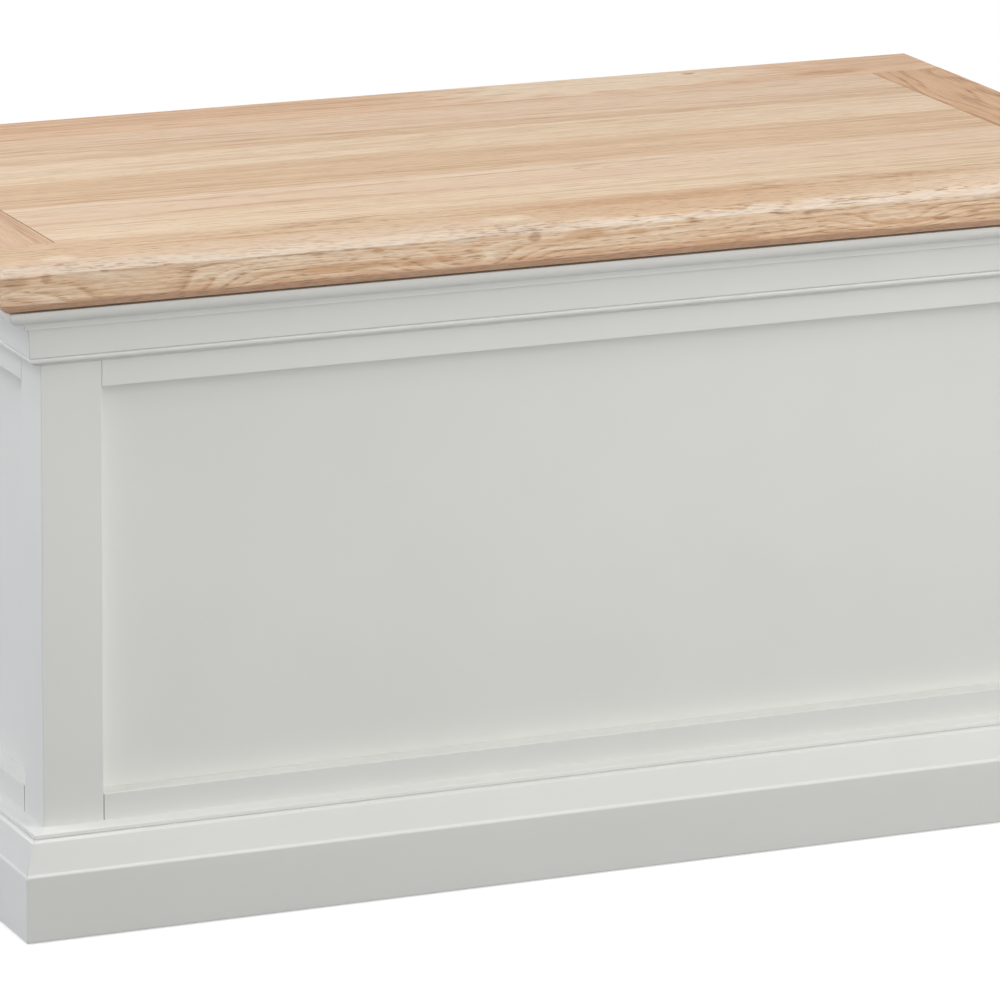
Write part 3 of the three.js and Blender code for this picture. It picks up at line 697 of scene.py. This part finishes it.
face = add_node(tree, "Mix", face, data_type="RGBA").outputs[2]
board = {0: cross_ply, 6: face, 7: colour("b58c5c")}
board = add_node(tree, "Mix", board, data_type="RGBA").outputs[2]
fuzz = add_node(tree, "Bump", {"Height": vessels.outputs[0], "Distance": 0.05 * MM}).outputs[0]
surface(tree, Base_Color=board, Roughness=0.55, Normal=fuzz)
for node in ("floor_panel", "cleat_front", "cleat_rear", "cleat_left", "cleat_right"):
    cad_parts[node].data.materials[0] = birch
print("plies in the 12 mm floor:", round(12 * MM / PLY))

# %% [markdown]
# ## Nylon glides and rubber bumpers
#
# A glide is a moulded nylon disc with a rounded rim, so that it slides over a sill without
# catching. A bumper is a small stick-on dome. Both come from a short cone with equal radii, that
# is a disc, whose free rim is then bevelled.

# %% Nylon and rubber
nylon, tree, place = new_material("moulded_nylon")
# Moulded nylon is milky and a little waxy: an even colour with a soft sheen and a faint grain
grain = add_node(tree, "TexNoise", {"Vector": place, "Scale": 1 / (1.2 * MM), "Detail": 2.0})
tint = {0: grain.outputs[0], 6: colour("d3cfc4"), 7: colour("c9c4b8")}
tint = add_node(tree, "Mix", tint, data_type="RGBA").outputs[2]
skin = add_node(tree, "Bump", {"Height": grain.outputs[0], "Distance": 0.02 * MM})
surface(tree, Base_Color=tint, Roughness=0.42, Normal=skin.outputs[0])

soft_rubber, tree, place = new_material("moulded_rubber")
# Rubber is nearly matt, and dust in its pores lightens it in specks
specks = add_node(tree, "TexNoise", {"Vector": place, "Scale": 1 / (0.6 * MM), "Detail": 3.0})
tint = {0: specks.outputs[0], 6: colour("262625"), 7: colour("3b3a38")}
tint = add_node(tree, "Mix", tint, data_type="RGBA").outputs[2]
skin = add_node(tree, "Bump", {"Height": specks.outputs[0], "Distance": 0.04 * MM})
surface(tree, Base_Color=tint, Roughness=0.75, Normal=skin.outputs[0])


def moulded_disc(name, material, slot, node, free_end, rounding):
    """A disc in a node's place, with a rounded rim at its free end: -1 below, 1 above."""
    low, high = (Vector(corner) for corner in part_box(node))
    radius = (high.x - low.x) / 2
    shape = bmesh.new()
    bmesh.ops.create_cone(
        shape, cap_ends=True, segments=48, radius1=radius, radius2=radius,
        depth=high.z - low.z, matrix=Matrix.Translation((low + high) / 2),
    )
    free_z = high.z if free_end > 0 else low.z
    rim = [e for e in shape.edges if all(abs(v.co.z - free_z) < SAME_PLACE for v in e.verts)]
    soften(shape, rim, rounding, 4)
    finish_piece(shape, name, material, slot, "carcass", node)


GLIDE_RIM = 1.2
BUMPER_RIM = 1.1
for corner in ("front_left", "front_right", "rear_left", "rear_right"):
    moulded_disc("nylon_glide_" + corner, nylon, "glide_plastic", "glide_" + corner, -1, GLIDE_RIM)
for side in ("left", "right"):
    moulded_disc("rubber_bumper_" + side, soft_rubber, "rubber", "bumper_" + side, 1, BUMPER_RIM)
print("four glides and two bumpers")

# %% [markdown]
# ## Steel and enamel
#
# The hinges and brackets are nickel-plated pressings, tumbled to a satin. The stays' rods are
# hard chrome and brightly polished, and their cylinders have a smooth black baked enamel. A metal
# shows mostly what it mirrors, so its detail goes to the roughness: plating clouds it a little.

# %% Metals
satin_nickel, tree, place = new_material("satin_nickel_plate")
# Tumbling leaves a fine, even frost, drawn here 0.8 mm wide so that it shows
frost = add_node(tree, "TexNoise", {"Vector": place, "Scale": 1 / (0.8 * MM), "Detail": 2.0})
cloud = add_node(tree, "TexNoise", {"Vector": place, "Scale": 1 / (14 * MM), "Detail": 2.0})
tint = {0: cloud.outputs[0], 6: colour("bdb8ae"), 7: colour("b0aba1")}
tint = add_node(tree, "Mix", tint, data_type="RGBA").outputs[2]
sheen = add_node(tree, "MapRange", {0: frost.outputs[0], 3: 0.24, 4: 0.42})
skin = add_node(tree, "Bump", {"Height": frost.outputs[0], "Distance": 0.006 * MM})
surface(
    tree, Base_Color=tint, Metallic=1.0, Roughness=sheen.outputs[0], Normal=skin.outputs[0],
)

hard_chrome, tree, place = new_material("polished_hard_chrome")
# A ground and polished rod is a mirror with the faintest haze, and a trace of oil dulls it
haze = add_node(tree, "TexNoise", {"Vector": place, "Scale": 1 / (9 * MM), "Detail": 3.0})
sheen = add_node(tree, "MapRange", {0: haze.outputs[0], 3: 0.1, 4: 0.24})
tint = {0: haze.outputs[0], 6: colour("d2d4d6"), 7: colour("c6c8ca")}
tint = add_node(tree, "Mix", tint, data_type="RGBA").outputs[2]
surface(tree, Base_Color=tint, Metallic=1.0, Roughness=sheen.outputs[0])

baked_enamel, tree, place = new_material("black_baked_enamel")
# Enamel flows before it sets, which leaves a slow orange-peel ripple in its shine
peel = add_node(tree, "TexNoise", {"Vector": place, "Scale": 1 / (2 * MM), "Detail": 1.0})
wear = add_node(tree, "TexNoise", {"Vector": place, "Scale": 1 / (20 * MM), "Detail": 3.0})
tint = {0: wear.outputs[0], 6: colour("161617"), 7: colour("242425")}
tint = add_node(tree, "Mix", tint, data_type="RGBA").outputs[2]
sheen = add_node(tree, "MapRange", {0: wear.outputs[0], 3: 0.24, 4: 0.4})
ripple = add_node(tree, "Bump", {"Height": peel.outputs[0], "Distance": 0.02 * MM})
surface(tree, Base_Color=tint, Roughness=sheen.outputs[0], Normal=ripple.outputs[0])
print("metals: satin nickel, hard chrome, black enamel")

# %% [markdown]
# ## A countersunk screw head
#
# Every screw here is the same pattern: a flat head with a cross recess. The head is a disc with
# an eased rim. Four cuts across its top mark out a cross, and the cross is pushed down and
# narrowed, as the punch leaves it. It is made once, and copies of it are set into each fitting.

# %% Screw head
HEAD_RADIUS = 2.6
HEAD_TAPER = 0.85
HEAD_DEPTH = 0.6
HEAD_SINK = 0.15  # how far the head's middle lies below the fitting's face
HEAD_EASE = 0.12
SLOT_HALF_WIDTH = 0.36
SLOT_REACH = 1.55
SLOT_DEPTH = 0.4
SLOT_TAPER = 0.7
HAIR = 0.001 * MM


def at_top(verts):
    return all(abs(v.co.z - top) < HAIR for v in verts)


shape = bmesh.new()
bmesh.ops.create_cone(
    shape, cap_ends=True, segments=24, radius1=HEAD_RADIUS * HEAD_TAPER * MM,
    radius2=HEAD_RADIUS * MM, depth=HEAD_DEPTH * MM,
    matrix=Matrix.Translation((0, 0, -HEAD_SINK * MM)),
)
top = max(v.co.z for v in shape.verts)
soften(shape, [edge for edge in shape.edges if at_top(edge.verts)], HEAD_EASE)
crest = max(shape.faces, key=lambda f: f.calc_center_median().z)
bmesh.ops.inset_individual(shape, faces=[crest], thickness=0.3 * MM)
for axis in (Vector((1, 0, 0)), Vector((0, 1, 0))):
    for distance in (-SLOT_REACH, -SLOT_HALF_WIDTH, SLOT_HALF_WIDTH, SLOT_REACH):
        inner = [
            f for f in shape.faces
            if at_top(f.verts) and max(v.co.length for v in f.verts) < (HEAD_RADIUS - 0.35) * MM
        ]
        around = {v for f in inner for v in f.verts} | {e for f in inner for e in f.edges}
        bmesh.ops.bisect_plane(
            shape, geom=[*around, *inner], dist=HAIR / 10, plane_co=axis * distance * MM,
            plane_no=axis,
        )


def in_cross(face):
    near, far = sorted(abs(part) for part in face.calc_center_median().xy)
    return near < SLOT_HALF_WIDTH * MM and far < SLOT_REACH * MM and at_top(face.verts)


cross = [f for f in shape.faces if in_cross(f)]
pushed = bmesh.ops.extrude_face_region(shape, geom=cross)
bottom = [part for part in pushed["geom"] if isinstance(part, bmesh.types.BMVert)]
bmesh.ops.delete(shape, geom=cross, context="FACES")
bmesh.ops.scale(shape, verts=bottom, vec=(SLOT_TAPER, SLOT_TAPER, 1))
bmesh.ops.translate(shape, verts=bottom, vec=(0, 0, -SLOT_DEPTH * MM))
bmesh.ops.recalc_face_normals(shape, faces=shape.faces)
screw_head = bpy.data.meshes.new("screw_head")
shape.to_mesh(screw_head)
shape.free()
print("faces in a screw head:", len(screw_head.polygons))


def drive_screw(shape, place, facing):
    """Sets a screw head into a shape. facing is the way its slot looks."""
    head = screw_head.copy()
    turn = Vector(facing).to_track_quat("Z", "Y").to_matrix().to_4x4()
    head.transform(Matrix.Translation(Vector(place) * MM) @ turn)
    shape.from_mesh(head)
    bpy.data.meshes.remove(head)


# %% [markdown]
# ## Hinges
#
# A butt hinge is two pressed leaves, rolled into knuckles round a pin. Its corners are eased by
# tumbling. Each leaf has three screws, staggered so that they don't split the rail.

# %% Butt hinges
HINGE_X = 250
LEAF_TOP = 448.25
LID_LEAF_BOTTOM = 449.25
SCREW_ROWS = ((-27, 206.5), (0, 212), (27, 206.5))
for side, way in (("left", -1), ("right", 1)):
    for leaf, body, height, facing in (
        ("hinge_fixed_leaf_", "carcass", LEAF_TOP, (0, 0, 1)),
        ("hinge_lid_leaf_", "lid", LID_LEAF_BOTTOM, (0, 0, -1)),
    ):
        shape = solid_of(leaf + side)
        soften(shape, long_edges(shape, 10), 0.2)
        for across, y in SCREW_ROWS:
            drive_screw(shape, (way * HINGE_X + across, y, height), facing)
        finish_piece(shape, "nickel_" + leaf + side, satin_nickel, "steel", body, leaf + side)
    shape = solid_of("hinge_pin_" + side)
    soften(shape, long_edges(shape, 0.1), 0.3, 3)
    node = "hinge_pin_" + side
    finish_piece(shape, "nickel_" + node, satin_nickel, "steel", "carcass", node)
print("two butt hinges with six screws each")

# %% [markdown]
# ## Lid stays
#
# A stay is a tube with a rod that slides in it. The tube's mouth is rolled in over a guide ring,
# which leaves a groove round it: four cuts mark the groove, and its middle is drawn in.

# %% Stays
PIVOT_LOW = Vector((0, 125.16, 227.79)) * MM
PIVOT_HIGH = Vector((0, -18.06, 438.0)) * MM
along_stay = (PIVOT_HIGH - PIVOT_LOW).normalized()
across_stay = Vector((0, -along_stay.z, along_stay.y))
STAY_X = 371 * MM
MOUTH = 239.86 * MM  # from the lower pivot to the tube's mouth
TUBE_SKIN = 7 * MM  # what is farther than this from the axis is the tube's outside
WALL_PLATE_X = 380
WALL_SCREW = 9.2 * MM
LID_PLATE_X = 360.5
LID_PLATE_Z = 448
LID_SCREW = 9.5
for side, way in (("left", -1), ("right", 1)):
    axis_foot = PIVOT_LOW + Vector((way * STAY_X, 0, 0))
    shape = solid_of("stay_cylinder_" + side)
    soften(shape, long_edges(shape, 0.5), 0.4, 3)
    for back_from_mouth in (9, 8, 6.6, 5.6):
        bmesh.ops.bisect_plane(
            shape, geom=shape.verts[:] + shape.edges[:] + shape.faces[:], dist=0.001 * MM,
            plane_co=axis_foot + along_stay * (MOUTH - back_from_mouth * MM), plane_no=along_stay,
        )
    for vert in shape.verts:
        run = (vert.co - axis_foot).dot(along_stay)
        spot = axis_foot + along_stay * run
        if 6 * MM < MOUTH - run < 8.5 * MM and (vert.co - spot).length > TUBE_SKIN:
            vert.co = spot + (vert.co - spot) * 0.9
    finish_piece(
        shape, "enamelled_stay_cylinder_" + side, baked_enamel, "black_enamel",
        side + "_cylinder", "stay_cylinder_" + side,
    )
    shape = solid_of("stay_rod_" + side)
    soften(shape, long_edges(shape, 0.5), 0.3)
    node = "stay_rod_" + side
    finish_piece(shape, "chrome_" + node, hard_chrome, "steel", side + "_rod", node)

    node = "stay_wall_bracket_" + side
    shape = solid_of(node)
    soften(shape, long_edges(shape, 0.5), 0.3)
    for end in (-1, 1):
        spot = PIVOT_LOW + across_stay * end * WALL_SCREW
        drive_screw(shape, (way * WALL_PLATE_X, spot.y / MM, spot.z / MM), (-way, 0, 0))
    finish_piece(shape, "nickel_" + node, satin_nickel, "steel", "carcass", node)

    node = "stay_lid_bracket_" + side
    shape = solid_of(node)
    soften(shape, long_edges(shape, 0.5), 0.3)
    for end in (-1, 1):
        spot = (way * LID_PLATE_X, PIVOT_HIGH.y / MM + end * LID_SCREW, LID_PLATE_Z)
        drive_screw(shape, spot, (0, 0, -1))
    finish_piece(shape, "nickel_" + node, satin_nickel, "steel", "lid", node)
bpy.data.meshes.remove(screw_head)
print(f"stays: {(PIVOT_HIGH - PIVOT_LOW).length / MM:.1f} mm between pivots, lid closed")

# %% [markdown]
# ## Light
#
# A product picture is lit by big soft boxes over a white sweep. The lamps here are large, so the
# shadows under the lid and the mouldings are soft. Most of the light comes from the front right
# and from the left, and a card on the floor in front throws a little light up under the
# mouldings. One lamp behind the chest and one to its right keep these sides from going dark when
# the chest is turned.
#
# Lacquer and satin paint mirror strongly at a low angle. The lamps above, at the sides and at the
# back would show there as white glare, so they light the chest without being mirrored in it.
#
# The backdrop and the floor are white only to the camera and in mirrored rays. To all other rays
# the room is dim and the floor a dull grey, so they add little light to the chest.

# %% Lamps and world
NEUTRAL = "ffffff"
COOL = "f5f7ff"


def soft_box(name, place, aim, size, power, code, mirrored=True):
    """A rectangular lamp at a place in metres, turned towards its aim, with its power in watts."""
    lamp = bpy.data.lights.new(name, "AREA")
    lamp.shape = "RECTANGLE"
    lamp.size, lamp.size_y = size
    lamp.energy = power
    lamp.color = colour(code)[:3]
    holder = bpy.data.objects.new(name, lamp)
    bpy.context.scene.collection.objects.link(holder)
    toward = (Vector(aim) - Vector(place)).to_track_quat("-Z", "Y")
    holder.matrix_world = Matrix.Translation(place) @ toward.to_matrix().to_4x4()
    holder.visible_camera = False
    holder.visible_glossy = mirrored


soft_box("soft_box_front", (1.5, -3.3, 1.3), (0, 0, 0.2), (1.8, 2.2), 49, NEUTRAL)
soft_box("soft_box_front_left", (-0.8, -3.6, 1.1), (0, 0, 0.25), (1.6, 1.2), 12, NEUTRAL)
soft_box("soft_box_front_high", (1.2, -2.2, 2.2), (0, -0.2, 0.3), (1.6, 1.6), 22, NEUTRAL)
soft_box(
    "soft_box_over_front", (0.6, -1.1, 2.8), (0, 0, 0.3), (1.6, 1.4), 22, NEUTRAL, mirrored=False,
)
soft_box("soft_box_left", (-3.0, 0.2, 1.3), (0, 0, 0.25), (1.4, 1.4), 28, COOL, mirrored=False)
soft_box(
    "soft_box_left_high", (-1.9, 0.0, 2.3), (-0.4, 0, 0.3), (1.2, 1.2), 30, COOL, mirrored=False,
)
soft_box(
    "soft_box_back", (-0.7, 3.4, 0.9), (0, 0.2, 0.25), (1.8, 1.2), 72, NEUTRAL, mirrored=False,
)
soft_box("soft_box_right", (3.2, 0.2, 0.9), (0, 0, 0.25), (1.4, 1.2), 36, NEUTRAL, mirrored=False)
soft_box(
    "soft_box_card", (0.2, -0.95, 0.03), (0.2, -0.95, 1.0), (1.6, 0.6), 2.4, NEUTRAL,
    mirrored=False,
)


def seen_or_mirrored(tree):
    """1 for rays that end in the picture: straight, mirrored or through glass. 0 for light."""
    ray = add_node(tree, "LightPath").outputs
    seen = ray["Is Camera Ray"]
    for kind in ("Is Glossy Ray", "Is Transmission Ray"):
        seen = add_node(tree, "Math", {0: seen, 1: ray[kind]}, operation="MAXIMUM").outputs[0]
    return seen


world = bpy.data.worlds.new("white_studio")
bpy.context.scene.world = world
world.use_nodes = True
tree = world.node_tree
tree.nodes.clear()
seen = seen_or_mirrored(tree)
room = add_node(tree, "Background", {"Color": colour("ffffff"), "Strength": 0.02})
backdrop = add_node(tree, "Background", {"Color": colour("ffffff"), "Strength": 1.0})
both = add_node(tree, "MixShader", {0: seen, 1: room.outputs[0], 2: backdrop.outputs[0]})
add_node(tree, "OutputWorld", {"Surface": both.outputs[0]})
print("lamps:", len(bpy.data.lights))

# %% Floor
FLOOR_NEAR = 0.8  # from here out, in metres, the floor fades to pure white
FLOOR_AWAY = 1.6
floor_paper, tree, place = new_material("white_paper_floor")
# White paper that shows the chest's soft shadow and has no edge and no horizon
seen = seen_or_mirrored(tree)
dull = add_node(tree, "BsdfDiffuse", {"Color": colour("7d7d7d")})
lit = add_node(tree, "BsdfDiffuse", {"Color": colour("c4c4c4")})
glow = add_node(tree, "Emission", {"Color": colour("ffffff"), "Strength": 0.6})
near = add_node(tree, "AddShader", {0: lit.outputs[0], 1: glow.outputs[0]})
white = add_node(tree, "Emission", {"Color": colour("ffffff"), "Strength": 1.0})
away = add_node(tree, "VectorMath", {0: place}, operation="LENGTH").outputs["Value"]
fade = {0: away, 1: FLOOR_NEAR, 2: FLOOR_AWAY}
fade = add_node(tree, "MapRange", fade, interpolation_type="SMOOTHSTEP").outputs[0]
shown = add_node(tree, "MixShader", {0: fade, 1: near.outputs[0], 2: white.outputs[0]})
paper = add_node(tree, "MixShader", {0: seen, 1: dull.outputs[0], 2: shown.outputs[0]})
add_node(tree, "OutputMaterial", {"Surface": paper.outputs[0]})
shape = bmesh.new()
bmesh.ops.create_grid(shape, x_segments=1, y_segments=1, size=20)
mesh = bpy.data.meshes.new("floor")
shape.to_mesh(mesh)
shape.free()
mesh.materials.append(floor_paper)
floor = bpy.data.objects.new("floor", mesh)
bpy.context.scene.collection.objects.link(floor)
bpy.context.scene.view_settings.view_transform = "Standard"
print("studio lit")
